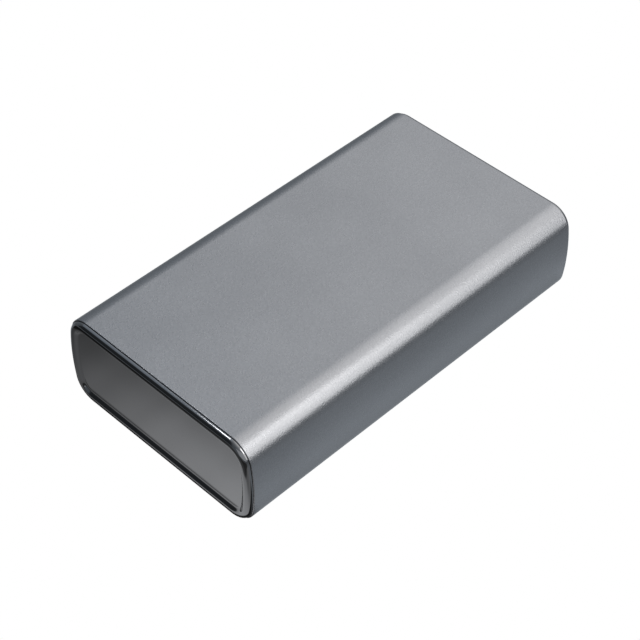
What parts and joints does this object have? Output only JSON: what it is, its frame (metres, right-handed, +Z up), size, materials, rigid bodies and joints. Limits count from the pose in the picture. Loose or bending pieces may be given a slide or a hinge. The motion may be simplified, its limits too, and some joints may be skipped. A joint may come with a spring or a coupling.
{
  "type": "power bank",
  "caption": "Slim pocket power bank: a matt grey aluminium sleeve with glossy dark dished end caps, USB sockets, charge lamps and a press button on one end.",
  "frame": {"origin": "centre of the flat bottom face, on the surface that it rests on", "axes": "+Z up through the thickness; +Y along the length towards the end cap with the sockets; +X across the width, towards the power button's side"},
  "size_m": [0.0524, 0.0936, 0.022],
  "materials": {
    "sleeve_metal": "bead-blasted and anodised gunmetal grey",
    "cap_plastic": "smoked, metallised, high gloss",
    "button_plastic": "dark metallised, satin",
    "tray_plastic": "fine moulded texture",
    "clear_plastic": "clear moulded acrylic, diffusing ends",
    "cell_foil": "laminated pouch foil, satin",
    "nickel": "plain nickel strip",
    "board_laminate": "green solder mask",
    "chip_epoxy": "moulded black epoxy",
    "ferrite": "pressed ferrite powder",
    "capacitor_ceramic": "tan ceramic with tinned ends",
    "resistor_ceramic": "black film on white ceramic",
    "lamp": "white lamp package",
    "socket_steel": "stamped and nickel plated",
    "socket_plastic": "white moulded insulator",
    "socket_plastic_dark": "black moulded insulator",
    "gold_contact": "gold plated",
    "screw_steel": "black zinc plated",
    "red_insulation": "red silicone lead",
    "black_insulation": "black silicone lead",
    "fish_paper": "green-grey insulating paper",
    "polyimide_tape": "amber film",
    "double_sided_tape": "white adhesive tape",
    "foam": "closed-cell foam",
    "thermistor_epoxy": "black epoxy bead"
  },
  "bodies": {
    "case": {"sleeve": "sleeve_metal", "plain_end_cap": "cap_plastic", "port_end_cap": "cap_plastic", "inner_tray": "tray_plastic", "lower_cell": "cell_foil", "upper_cell": "cell_foil", "lower_cell_tabs": "nickel", "upper_cell_tabs": "nickel", "protection_board": "board_laminate", "protection_chips": "chip_epoxy", "insulation_paper": "fish_paper", "cell_tape": "double_sided_tape", "tray_tape": "double_sided_tape", "top_foam_pads": "foam", "wrap_tape": "polyimide_tape", "end_cushion": "foam", "thermistor": "thermistor_epoxy", "positive_lead": "red_insulation", "negative_lead": "black_insulation", "main_board": "board_laminate", "board_screws": "screw_steel", "charge_controller": "chip_epoxy", "power_inductor": "ferrite", "inductor_terminals": "nickel", "indicator_leds": "lamp", "chip_capacitors": "capacitor_ceramic", "chip_resistors": "resistor_ceramic", "output_capacitors": "capacitor_ceramic", "power_transistors": "chip_epoxy", "usb_a_shell": "socket_steel", "usb_a_insulator": "socket_plastic", "usb_a_contacts": "gold_contact", "usb_c_shell": "socket_steel", "usb_c_insulator": "socket_plastic_dark", "usb_c_contacts": "gold_contact", "switch_body": "chip_epoxy", "switch_terminals": "nickel", "switch_cover": "socket_steel", "switch_dome": "nickel", "light_pipe": "clear_plastic"},
    "button": {"power_button": "button_plastic"},
    "plunger": {"switch_plunger": "tray_plastic"}
  },
  "joints": [
    {"name": "button_press", "type": "slide", "parent": "case", "child": "button", "axis": [0, -1, 0], "range_m": [0, 0.00025], "stiffness_N_per_m": 3000, "springref_m": -0.0002},
    {"name": "plunger_press", "type": "slide", "parent": "case", "child": "plunger", "axis": [0, -1, 0], "range_m": [0, 0.00025], "deforming": ["switch_dome"]}
  ],
  "couplings": [
    {"joint": "plunger_press", "follows": "button_press", "ratio": 1}
  ]
}
